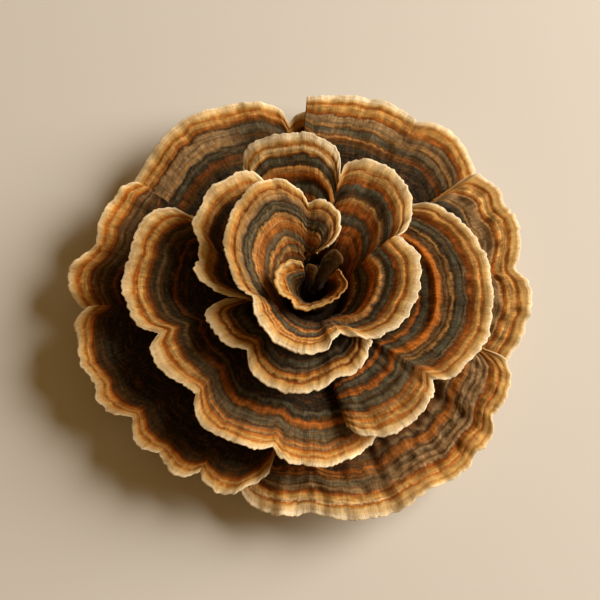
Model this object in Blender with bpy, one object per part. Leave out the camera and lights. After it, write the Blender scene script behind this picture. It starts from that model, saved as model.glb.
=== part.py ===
"""A turkey tail fungus, cut flat from the wood it grew on.

The fungus is a rosette, about 115 mm across and 31 mm high. Thin leathery caps grow in tiers from one
woody foot: six broad outer caps, two middle ones, two upper ones, and a crown that winds about one and a
half turns round the hollow at its heart. Every cap is a curved sheet, thick at its root on the foot and
thin at its lobed margin. Lengths are in millimetres and turned into metres where meshes are made.
Seen from above, +X is right and +Y is back. Bearings are in degrees from +X, turning towards +Y.
"""

import math

import bmesh
import bpy
from mathutils import Vector

MM = 0.001

# The foot stands on its cut face and leans a little, so the hollow at the heart is not over its middle.
FOOT_TOP = 18.9
FOOT_LEAN = (1.5, -2.5)
FOOT_PROFILE = [
    (0.0, 14.2), (3.0, 13.8), (6.5, 12.9), (8.5, 12.0), (10.5, 10.4), (12.5, 9.2),
    (14.0, 8.4), (15.5, 8.1), (16.7, 7.9), (17.2, 7.2), (17.8, 5.4), (18.5, 3.0),
]  # (height, radius)
FOOT_SIDES = 28
FOOT_LUMPS = 0.25

ROOT_THICKNESS = 2.0
RIM_THICKNESS = 0.9
COLUMN_SPACING = 4.2
ROWS = 5

# Each cap lists its root, one (bearing, radius, height) round the leaning axis for each end of a lobe, and
# its lobes, the runs of its free margin as (x, y, height). Two lobes meet in a sharp notch. "arch" bends the
# sheet between them: 0 is straight, 1 starts upright at the root and is level at the margin. "folds" lifts
# (or, below zero, sinks) the sheet along the line from each notch to the root.
CAPS = {
    "outer_cap_back_left": {
        "arch": 0.35,
        "root": [(150, 14.4, 3.4), (96, 14.4, 3.4), (82, 14.4, 3.4)],
        "folds": [-0.6],
        "lobes": [
            [(-47.0, 24.5, 8.5), (-45.0, 31.5, 9.0), (-40.0, 40.5, 10.5), (-33.5, 48.0, 11.5),
             (-24.0, 52.5, 11.5), (-13.0, 54.5, 10.5), (-7.0, 53.0, 10.0), (-4.5, 49.0, 9.5)],
            [(-4.5, 49.0, 9.5), (-1.5, 52.5, 9.0), (5.0, 53.5, 8.5)],
        ],
    },
    "outer_cap_back_right": {
        "arch": 0.35,
        "root": [(104, 13.9, 6.8), (60, 14.1, 5.5), (27, 14.4, 3.2)],
        "folds": [0.5],
        "lobes": [
            [(0.5, 55.0, 12.5), (9.5, 56.0, 12.0), (20.0, 54.5, 12.0), (25.5, 52.0, 11.5),
             (29.0, 48.5, 11.0)],
            [(29.0, 48.5, 11.0), (36.0, 47.0, 11.5), (41.0, 43.0, 10.5), (44.0, 36.0, 9.5),
             (44.5, 31.0, 8.5), (45.5, 23.5, 8.0)],
        ],
    },
    "outer_cap_right": {
        "arch": 0.35,
        "root": [(44, 13.9, 6.8), (8, 14.1, 5.5), (-27, 14.4, 3.2)],
        "folds": [0.4],
        "lobes": [
            [(40.0, 31.0, 12.5), (44.0, 32.5, 12.5), (50.0, 28.5, 11.5), (51.0, 25.0, 11.5),
             (54.0, 21.0, 11.5), (55.0, 15.0, 11.0), (53.0, 8.0, 10.0)],
            [(53.0, 8.0, 10.0), (56.0, 4.0, 10.5), (56.5, -3.5, 10.5), (55.0, -7.0, 10.0),
             (54.0, -10.5, 9.5), (50.0, -16.5, 8.5),
             (46.0, -23.0, 8.0)],
        ],
    },
    "outer_cap_front_right": {
        "arch": 0.35,
        "root": [(-10, 13.9, 6.8), (-34, 14.0, 6.2), (-45, 14.0, 5.8), (-88, 14.2, 4.6), (-112, 14.4, 3.4)],
        "folds": [0.9, 0.9, 0.6],
        "lobes": [
            [(47.0, -16.0, 12.5), (49.0, -17.5, 12.5), (50.0, -21.5, 12.5), (48.5, -28.0, 12.0),
             (45.5, -31.0, 11.5)],
            [(45.5, -31.0, 11.5), (45.0, -35.5, 11.5), (43.5, -38.5, 11.0), (40.5, -40.5, 11.0)],
            [(40.5, -40.5, 11.0), (38.5, -44.5, 11.0), (31.0, -48.5, 11.0), (23.5, -53.5, 11.0),
             (16.0, -56.0, 11.0), (8.0, -56.5, 11.0), (1.0, -54.5, 10.0)],
            [(1.0, -54.5, 10.0), (-6.0, -55.5, 10.0), (-12.0, -53.0, 9.0), (-16.5, -48.5, 8.5)],
        ],
    },
    "outer_cap_front_left": {
        "arch": 0.35,
        "root": [(266, 13.9, 6.8), (241, 13.9, 6.8), (229, 13.9, 6.8), (217, 13.9, 6.8), (181, 13.9, 6.8)],
        "folds": [0.6, 0.6, 0.6],
        "lobes": [
            [(-9.0, -45.5, 12.0), (-13.0, -48.5, 12.0), (-18.5, -50.5, 11.5), (-23.5, -49.0, 11.0),
             (-25.5, -45.0, 10.5)],
            [(-25.5, -45.0, 10.5), (-29.0, -46.5, 11.0), (-32.5, -45.0, 11.5), (-35.5, -40.5, 10.5)],
            [(-35.5, -40.5, 10.5), (-38.5, -40.0, 11.0), (-41.5, -37.5, 11.5), (-42.5, -31.5, 10.5)],
            [(-42.5, -31.5, 10.5), (-46.5, -31.0, 11.0), (-50.5, -28.0, 11.5), (-52.0, -23.5, 11.5),
             (-56.0, -17.5, 12.0), (-56.5, -12.0, 12.5), (-57.5, -7.0, 12.5), (-54.5, -3.5, 12.5)],
        ],
    },
    "outer_cap_left": {
        "arch": 0.35,
        "root": [(195, 14.4, 3.4), (164, 14.1, 5.0), (139, 13.9, 6.8)],
        "folds": [-0.6],
        "lobes": [
            [(-53.5, -11.5, 8.0), (-54.5, -4.5, 8.5), (-57.5, -1.5, 9.0), (-60.0, 3.0, 10.0),
             (-59.5, 7.5, 10.5), (-56.5, 11.0, 11.0), (-53.5, 14.0, 10.5)],
            [(-53.5, 14.0, 10.5), (-53.0, 19.0, 11.5), (-50.0, 25.0, 12.0), (-46.5, 29.5, 12.5),
             (-43.5, 30.5, 12.5)],
        ],
    },
    "middle_cap_left": {
        "arch": 0.5,
        "root": [(143, 12.2, 11.5), (198, 12.2, 11.5), (225, 12.2, 11.5), (258, 12.3, 11.0),
                 (300, 12.7, 9.4)],
        "folds": [1.0, 0.6, 0.6],
        "lobes": [
            [(-28.5, 18.0, 18.0), (-32.0, 20.0, 18.5), (-36.5, 20.0, 19.0), (-42.0, 15.5, 19.5),
             (-44.0, 8.0, 19.5), (-45.5, 1.5, 19.5), (-44.5, -5.0, 19.5), (-41.5, -10.5, 19.5),
             (-36.0, -12.5, 18.5)],
            [(-36.0, -12.5, 18.5), (-37.5, -16.0, 19.0), (-35.5, -21.0, 19.5), (-31.0, -25.0, 19.5),
             (-26.5, -28.0, 18.5)],
            [(-26.5, -28.0, 18.5), (-26.5, -31.5, 19.0), (-23.5, -37.0, 19.5), (-16.5, -40.5, 19.5),
             (-11.5, -42.0, 19.0), (-8.0, -41.0, 18.5)],
            [(-8.0, -41.0, 18.5), (-6.0, -43.5, 18.5), (-1.0, -45.5, 18.5), (6.5, -45.0, 17.0),
             (13.5, -41.5, 15.5), (18.5, -35.0, 14.5)],
        ],
    },
    "middle_cap_right": {
        "arch": 0.5,
        "root": [(52, 12.2, 11.5), (-40, 12.2, 12.2), (-76, 12.0, 13.2)],
        "folds": [1.0],
        "lobes": [
            [(24.5, 21.5, 17.5), (30.0, 22.0, 18.5), (35.5, 19.5, 19.5), (42.0, 13.0, 19.5),
             (45.0, 6.0, 19.5), (46.0, -1.0, 19.5), (45.5, -8.0, 19.5), (43.0, -15.5, 19.5),
             (38.5, -21.0, 19.5), (35.0, -24.0, 19.0), (30.5, -24.5, 18.5)],
            [(30.5, -24.5, 18.5), (30.5, -28.5, 19.0), (27.5, -33.0, 19.5), (20.5, -38.0, 19.5),
             (16.0, -38.5, 19.5), (12.0, -38.0, 19.5), (10.0, -35.5, 19.5)],
        ],
    },
    "upper_cap_left": {
        "arch": 0.5,
        "root": [(128, 9.2, 16.2), (172, 9.2, 16.2), (199, 9.2, 16.6)],
        "folds": [-0.3],
        "lobes": [
            [(-9.0, 24.0, 24.5), (-13.5, 27.5, 25.5), (-19.0, 26.0, 25.5), (-24.5, 22.0, 25.5),
             (-27.0, 16.5, 25.5), (-28.0, 14.0, 25.5), (-26.0, 8.5, 25.0), (-26.0, 4.5, 24.5)],
            [(-26.0, 4.5, 24.5), (-27.5, 1.5, 25.0), (-25.5, -1.5, 25.0), (-22.5, -3.5, 25.0),
             (-18.5, -5.0, 24.5)],
        ],
    },
    "upper_cap_front": {
        "arch": 0.5,
        "root": [(188, 10.6, 13.2), (232, 9.6, 14.6), (285, 9.6, 14.6), (318, 9.8, 14.0)],
        "folds": [0.6, 0.6],
        "lobes": [
            [(-20.0, -5.0, 21.5), (-24.0, -8.0, 22.5), (-23.5, -11.5, 23.5), (-20.5, -16.0, 24.5),
             (-14.0, -19.0, 24.5)],
            [(-14.0, -19.0, 24.5), (-13.5, -23.5, 25.0), (-10.0, -27.5, 25.0), (-4.5, -30.0, 25.5),
             (1.5, -29.5, 25.5), (7.0, -26.0, 25.0)],
            [(7.0, -26.0, 25.0), (11.0, -25.0, 25.0), (14.0, -21.5, 24.5), (15.5, -16.0, 23.5)],
        ],
    },
    "crown_cap": {
        "arch": 0.6,
        "root": [(91, 8.8, 22.6), (104, 7.0, 20.3), (215, 7.0, 19.4), (292, 7.4, 18.6), (380, 8.4, 17.5),
                 (434, 8.9, 16.0), (489, 10.9, 12.4)],
        "folds": [-0.5, -0.5, -0.8, 1.2, -0.8],
        "lobes": [
            [(5.4, 7.0, 26.0), (7.8, 9.5, 27.5), (8.4, 13.0, 28.5), (7.0, 16.5, 29.0), (4.0, 18.5, 29.0),
             (0.5, 17.5, 28.5)],
            [(0.5, 17.5, 28.5), (-1.5, 21.0, 29.5), (-6.0, 23.5, 30.0), (-11.0, 23.0, 30.5),
             (-16.0, 18.0, 30.5), (-19.5, 11.5, 30.5), (-19.5, 4.5, 30.0), (-17.0, -3.0, 29.5),
             (-13.0, -6.0, 28.5)],
            [(-13.0, -6.0, 28.5), (-12.5, -11.0, 29.0), (-9.0, -16.5, 29.5), (-2.0, -21.0, 29.5),
             (4.0, -20.0, 29.5), (8.0, -15.5, 28.5)],
            [(8.0, -15.5, 28.5), (15.0, -17.5, 29.0), (22.0, -14.0, 29.0), (26.0, -7.0, 29.0),
             (28.0, 1.5, 28.5), (26.5, 6.0, 28.0), (22.0, 10.0, 27.5)],
            [(22.0, 10.0, 27.5), (25.0, 12.5, 26.5), (26.0, 16.5, 26.5), (25.5, 22.0, 27.0),
             (21.0, 27.5, 27.5), (15.0, 30.0, 27.5), (10.0, 29.0, 27.0), (8.5, 26.0, 26.5)],
            [(8.5, 26.0, 26.5), (7.5, 33.0, 27.0), (3.0, 37.0, 27.0), (-4.0, 38.0, 26.5),
             (-12.0, 37.0, 24.5), (-16.0, 33.0, 23.0), (-15.5, 27.0, 21.5)],
        ],
    },
    "heart_cap": {
        "arch": 0.7,
        "root": [(126, 3.0, 20.2), (240, 3.0, 20.2), (385, 3.0, 20.2)],
        "folds": [-0.3],
        "lobes": [
            [(-1.5, 3.0, 27.5), (-4.0, 2.5, 28.5), (-6.5, 0.5, 29.0), (-7.5, -2.5, 29.0),
             (-6.5, -6.0, 29.0), (-4.0, -7.5, 28.5)],
            [(-4.0, -7.5, 28.5), (-2.5, -9.5, 29.0), (0.5, -10.0, 29.0), (4.5, -9.0, 29.0),
             (8.5, -6.0, 28.5), (10.0, -3.0, 28.0), (8.0, 1.0, 27.0)],
        ],
    },
    "heart_bud": {
        "arch": 0.4,
        "root": [(128, 1.2, 21.0), (80, 1.3, 21.0), (42, 1.4, 21.0)],
        "folds": [-0.3],
        "lobes": [
            [(-0.2, 2.9, 22.6), (0.7, 3.7, 23.2), (2.2, 3.5, 23.2), (3.0, 2.7, 22.4)],
            [(3.0, 2.7, 22.4), (3.9, 5.2, 23.0), (5.4, 7.0, 23.5), (7.6, 7.2, 24.0), (8.9, 5.8, 23.8),
             (8.9, 4.2, 23.0)],
        ],
    },
}

FOOT_COLOUR = (0.62, 0.50, 0.34)
OUTER_COLOUR = (0.34, 0.20, 0.10)
MIDDLE_COLOUR = (0.40, 0.24, 0.12)
UPPER_COLOUR = (0.50, 0.31, 0.16)
HEART_COLOUR = (0.58, 0.38, 0.20)
TIER_COLOURS = {
    "outer": OUTER_COLOUR,
    "middle": MIDDLE_COLOUR,
    "upper": UPPER_COLOUR,
    "crown": UPPER_COLOUR,
    "heart": HEART_COLOUR,
}
CAP_ROUGHNESS = 0.85
FOOT_ROUGHNESS = 0.95


def clear_scene():
    for obj in list(bpy.data.objects):
        bpy.data.objects.remove(obj, do_unlink=True)


def make_material(name, colour, roughness):
    material = bpy.data.materials.new(name)
    material.use_nodes = True
    shader = material.node_tree.nodes["Principled BSDF"]
    shader.inputs["Base Color"].default_value = (*colour, 1.0)
    shader.inputs["Roughness"].default_value = roughness
    shader.inputs["Metallic"].default_value = 0.0
    return material


def make_object(name, bm, material):
    mesh = bpy.data.meshes.new(name)
    bmesh.ops.scale(bm, vec=(MM, MM, MM), verts=bm.verts)
    bm.to_mesh(mesh)
    bm.free()
    mesh.materials.append(material)
    mesh.shade_smooth()
    mesh.set_sharp_from_angle(angle=math.radians(50))
    obj = bpy.data.objects.new(name, mesh)
    bpy.context.scene.collection.objects.link(obj)
    return obj


def leaning_axis(height):
    """The middle of the foot at a height: straight up at first, then leaning."""
    share = min(max(height / FOOT_TOP, 0.0), 1.0)
    return Vector((FOOT_LEAN[0] * share**2, FOOT_LEAN[1] * share**2, height))


def curve_through(points, samples_per_span=16):
    """Dense points on a smooth curve through the given ones, with no loops."""
    points = [Vector(p) for p in points]
    ends = [points[0] * 2 - points[1], *points, points[-1] * 2 - points[-2]]
    dense = [points[0]]
    for a, b, c, d in zip(ends, ends[1:], ends[2:], ends[3:]):
        knots = [0.0]
        for start, end in ((a, b), (b, c), (c, d)):
            knots.append(knots[-1] + max((end - start).length, 1e-6) ** 0.5)
        for step in range(1, samples_per_span + 1):
            t = knots[1] + (knots[2] - knots[1]) * step / samples_per_span
            ab = a.lerp(b, t / knots[1])
            bc = b.lerp(c, (t - knots[1]) / (knots[2] - knots[1]))
            cd = c.lerp(d, (t - knots[2]) / (knots[3] - knots[2]))
            abc = ab.lerp(bc, t / knots[2])
            bcd = bc.lerp(cd, (t - knots[1]) / (knots[3] - knots[1]))
            dense.append(abc.lerp(bcd, (t - knots[1]) / (knots[2] - knots[1])))
    return dense


def spaced_along(dense, count):
    """count + 1 points evenly spaced along a dense curve."""
    reach = [0.0]
    for start, end in zip(dense, dense[1:]):
        reach.append(reach[-1] + (end - start).length)
    spaced = []
    span = 0
    for index in range(count + 1):
        wanted = reach[-1] * index / count
        while span < len(dense) - 2 and reach[span + 1] < wanted:
            span += 1
        share = (wanted - reach[span]) / max(reach[span + 1] - reach[span], 1e-9)
        spaced.append(dense[span].lerp(dense[span + 1], min(share, 1.0)))
    return spaced


def cap_columns(cap):
    """(root point, margin point, fold height) for each line that runs from the foot out to the margin."""
    root_curve = curve_through(cap["root"], samples_per_span=32)
    folds = [0.0, *cap["folds"], 0.0]
    columns = []
    for number, lobe in enumerate(cap["lobes"]):
        dense = curve_through(lobe)
        length = sum((end - start).length for start, end in zip(dense, dense[1:]))
        count = max(3, round(length / COLUMN_SPACING))
        for index, margin in enumerate(spaced_along(dense, count)):
            if number and not index:
                continue
            share = index / count
            bearing, radius, height = root_curve[round((number + share) * 32)]
            angle = math.radians(bearing)
            root = leaning_axis(height) + radius * Vector((math.cos(angle), math.sin(angle), 0.0))
            fold = fold_height(folds[number], share) + fold_height(folds[number + 1], 1 - share)
            columns.append((root, margin, fold))
    return columns


def fold_height(depth, share):
    """A fold is sharp along its own line and dies out before the middle of the lobe beside it."""
    return depth * max(0.0, 1 - share / 0.4) ** 2


def cap_surface(cap):
    """The upper surface as rows of points for each column, from root to margin."""
    arch = cap["arch"]
    grid = []
    for root, margin, fold in cap_columns(cap):
        line = []
        for row in range(ROWS + 1):
            v = row / ROWS
            run = (1 - arch) * v + arch * (1 - math.cos(v * math.pi / 2))
            rise = (1 - arch) * v + arch * math.sin(v * math.pi / 2)
            point = root.lerp(margin, run)
            point.z = root.z + (margin.z - root.z) * rise + fold * math.sin(v * math.pi)
            line.append(point)
        grid.append(line)
    return grid


def surface_normals(grid):
    last_column = len(grid) - 1
    last_row = len(grid[0]) - 1
    normals = []
    for c in range(last_column + 1):
        line = []
        for r in range(last_row + 1):
            across = grid[min(c + 1, last_column)][r] - grid[max(c - 1, 0)][r]
            outward = grid[c][min(r + 1, last_row)] - grid[c][max(r - 1, 0)]
            line.append(across.cross(outward).normalized())
        normals.append(line)
    facing_up = sum(normal.z for line in normals for normal in line) > 0
    if facing_up:
        return normals
    return [[-normal for normal in line] for line in normals]


def build_cap(name, cap, material):
    """One closed sheet: the upper surface, a lower one that thins towards the margin, and the edges."""
    top = cap_surface(cap)
    normals = surface_normals(top)
    bm = bmesh.new()
    top_verts = []
    under_verts = []
    for line, line_normals in zip(top, normals):
        top_verts.append([bm.verts.new(point) for point in line])
        under = []
        for row, (point, normal) in enumerate(zip(line, line_normals)):
            thickness = ROOT_THICKNESS + (RIM_THICKNESS - ROOT_THICKNESS) * row / ROWS
            under.append(bm.verts.new(point - normal * thickness))
        under_verts.append(under)
    for c in range(len(top) - 1):
        for r in range(ROWS):
            for verts in (top_verts, under_verts):
                bm.faces.new((verts[c][r], verts[c + 1][r], verts[c + 1][r + 1], verts[c][r + 1]))
        for r in (0, ROWS):
            bm.faces.new((top_verts[c][r], top_verts[c + 1][r], under_verts[c + 1][r], under_verts[c][r]))
    for c in (0, -1):
        for r in range(ROWS):
            bm.faces.new((top_verts[c][r], top_verts[c][r + 1], under_verts[c][r + 1], under_verts[c][r]))
    bmesh.ops.recalc_face_normals(bm, faces=bm.faces)
    return make_object(name, bm, material)


def build_foot(material):
    """The woody foot: lumpy rings on the leaning axis, flat where it was cut from the wood."""
    bm = bmesh.new()
    rings = []
    for height, radius in FOOT_PROFILE:
        ring = []
        for side in range(FOOT_SIDES):
            angle = 2 * math.pi * side / FOOT_SIDES
            lump = FOOT_LUMPS * (math.sin(3 * angle + 0.4 * height) + math.sin(5 * angle + 1.3)) / 2
            reach = radius + lump * min(1.0, radius / 8)
            out = Vector((math.cos(angle), math.sin(angle), 0.0)) * reach
            ring.append(bm.verts.new(leaning_axis(height) + out))
        rings.append(ring)
    for low, high in zip(rings, rings[1:]):
        for side in range(FOOT_SIDES):
            after = (side + 1) % FOOT_SIDES
            bm.faces.new((low[side], low[after], high[after], high[side]))
    bm.faces.new(list(reversed(rings[0])))
    tip = bm.verts.new(leaning_axis(FOOT_TOP))
    for side in range(FOOT_SIDES):
        bm.faces.new((rings[-1][side], rings[-1][(side + 1) % FOOT_SIDES], tip))
    return make_object("foot", bm, material)


def build_fungus():
    clear_scene()
    build_foot(make_material("foot", FOOT_COLOUR, FOOT_ROUGHNESS))
    for name, cap in CAPS.items():
        colour = TIER_COLOURS[name.split("_")[0]]
        build_cap(name, cap, make_material(name, colour, CAP_ROUGHNESS))


build_fungus()
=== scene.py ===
"""A turkey tail rosette at full detail: every cap with its growth zones, nap, scalloped margin and pores.

The caps repeat the part's own shape data and functions, on a grid fine enough for the small relief that
the plain solids leave out. Lengths are in millimetres until a mesh is made, and bearings are in degrees
from +X, turning towards +Y.
"""

import math
from functools import reduce

import bmesh
import bpy
import numpy as np
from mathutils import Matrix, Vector


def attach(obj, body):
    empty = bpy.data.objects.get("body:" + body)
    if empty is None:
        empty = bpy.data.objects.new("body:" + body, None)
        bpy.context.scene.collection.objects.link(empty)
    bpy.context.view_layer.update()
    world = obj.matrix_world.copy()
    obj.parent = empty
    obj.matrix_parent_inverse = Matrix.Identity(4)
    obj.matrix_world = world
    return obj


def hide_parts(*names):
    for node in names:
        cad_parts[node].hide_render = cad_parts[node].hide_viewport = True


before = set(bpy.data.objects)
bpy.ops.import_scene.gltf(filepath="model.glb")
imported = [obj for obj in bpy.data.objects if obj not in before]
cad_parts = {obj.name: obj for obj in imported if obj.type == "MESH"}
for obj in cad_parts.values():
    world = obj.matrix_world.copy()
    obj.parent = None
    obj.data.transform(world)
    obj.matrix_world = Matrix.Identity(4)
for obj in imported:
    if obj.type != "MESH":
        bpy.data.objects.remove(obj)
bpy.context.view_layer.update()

MM = 0.001
FAR = 99.0

# ---------------- shape, as in the part
# The foot stands on its cut face and leans a little, so the hollow at the heart is not over its middle.
FOOT_TOP = 18.9
FOOT_LEAN = (1.5, -2.5)
FOOT_PROFILE = [
    (0.0, 14.2), (3.0, 13.8), (6.5, 12.9), (8.5, 12.0), (10.5, 10.4), (12.5, 9.2),
    (14.0, 8.4), (15.5, 8.1), (16.7, 7.9), (17.2, 7.2), (17.8, 5.4), (18.5, 3.0),
]  # (height, radius)
FOOT_LUMPS = 0.25
ROOT_THICKNESS = 2.0
RIM_THICKNESS = 0.9
NOTCH_THICKNESS = 0.7
FOLD_REACH = 0.4  # how far a fold spreads into a lobe, as a share of it

# Each zone's colour in even white light, 0 to 255, and its relief in mm: dark lines are grooves.
PALETTE = {
    "pale": (238, 213, 172, 0), "cream": (222, 186, 130, 0.12), "straw": (203, 156, 88, 0.14),
    "honey": (193, 142, 74, 0.15), "ochre": (173, 116, 45, 0.06), "copper": (172, 123, 65, 0.12),
    "brim": (186, 126, 62, 0.9), "orange": (152, 88, 29, 0.08), "glow": (176, 94, 22, 0.7),
    "rust": (166, 87, 25, -0.06), "burnt": (108, 56, 14, -0.16), "umber": (82, 51, 18, -0.1),
    "taupe": (150, 116, 75, 0.08), "fawn": (124, 90, 54, 0), "stone": (110, 88, 58, 0.08),
    "slate": (83, 75, 55, 0.04), "soot": (50, 40, 24, -0.08), "bark": (34, 22, 10, -0.08),
}
# Colours over the zones, and of the underside, the foot and the floor. Some are painted shade: at the
# root of each sheet, on the foot's top, under the crown and the heart, and on the underside's rim.
TINTS = {
    "buff": (194, 136, 68), "gold": (218, 176, 100), "fringe": (238, 214, 168), "frost": (150, 128, 88),
    "tinge": (112, 68, 26), "flesh": (230, 206, 162), "dull_flesh": (206, 174, 122),
    "painted_rim_shade": (198, 156, 98), "deep_flesh": (176, 134, 84), "crown_underside_shade": (64, 42, 22),
    "heart_underside_shade": (50, 32, 16), "pores": (120, 86, 50), "root": (34, 21, 10), "cork": (150, 112, 70),
    "pale_cork": (208, 178, 130), "cork_pits": (120, 84, 48), "painted_foot_shade": (44, 27, 13),
    "floor": (221, 212, 198),
}
LOW_RELIEF = 0.2  # mm above which a zone's relief fades out at the notches
CURL_WIDTH = 4.0
CORNER_REACH = 7.0  # mm from a free corner in which the zones turn with the margin
NOTCH_FADE = 0.5  # how much of a notch the zones behind it smooth out
SHORT_CROWDING = 0.6  # how much closer together the zones of a short stretch lie, as a power
ZONE_SPAN = 30.0  # mm that a colour ramp spans
ZONE_BLUR = 0.27  # mm in from a wide zone's edge where its even colour starts
THIN_ZONE = 0.95  # mm below which a zone has its full colour only at its middle
RAMP_STOPS = 30

# Spacing of a sheet's columns and rows, in mm: the rows lie closest near the margin.
COLUMN_SPACING = 0.32
ROW_SPACING = (0.28, 0.75)
EVEN_ROWS = 4.0
ROW_GROWTH = 0.03
MARGIN_INSET = 0.35
MARGIN_SAMPLES = 48
ROOT_SAMPLES = 64
# How far the sheets run on into the foot, in mm, and the rows there as shares of that.
ROOT_REACH = {"outer": 1.6, "middle": 1.8, "upper": 1.8, "crown": 2.2, "heart": 2.6}
ROOT_ROWS = (0.33, 0.67, 1.0)
# The underside has a row under every third one of the top.
UNDER_ROWS = 3
# The lip: its rings of points, how round it is, how much thinner the sheet gets and over what width.
LIP_RINGS = 3
LIP_BULGE = 0.8
LIP_TAPER = 0.5
LIP_WIDTH = 1.6
# The margin's crumbs: height and spacing in mm, and their layer of noise.
CRUMBS = ((0.20, 0.6, 2), (0.20, 1.1, 10), (0.24, 2.3, 3))
# Heights of each tier's broad ruffles and finer pleats, in mm.
RUFFLES = {
    "outer": (1.10, 0.20), "middle": (0.75, 0.13), "upper": (0.50, 0.08), "crown": (0.40, 0.06),
    "heart": (0.15, 0.05),
}
# The underside's colour away from the margin: between which distances in mm, and how strong at each.
# Under the crown and the heart it is painted shade beneath their overhanging cups; under the other caps
# it is a real browning towards the foot.
UNDERSIDE_SHADE = {
    "heart": ("heart_underside_shade", 0.0, 1.5, 0.6, 0.95),
    "crown": ("crown_underside_shade", 1.0, 5.0, 0.0, 0.95),
}
OUTER_FLESH = ("deep_flesh", 4.0, 28.0, 0.0, 0.6)
# Sheen and gloss: the heart is matte.
GLOSS = {"heart": (0.0, 0.03)}
CAP_GLOSS = (0.035, 0.10)
SHEEN_TINT = (1.0, 0.86, 0.68, 1.0)
# Swings in a metre of the noise that isn't drawn out, and depths of the bumps in metres.
MOTTLE_SCALE = 160.0
NAP_SCALE = 4200.0
PORE_SCALE = 3600.0
NAP_DEPTH = 0.00014
CORK_DEPTH = 0.0004
# How far apart the layers of drawn-out noise, and those of two caps, lie.
LAYER_SHIFT = 4.7
CAP_SHIFT = 31.3
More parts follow.
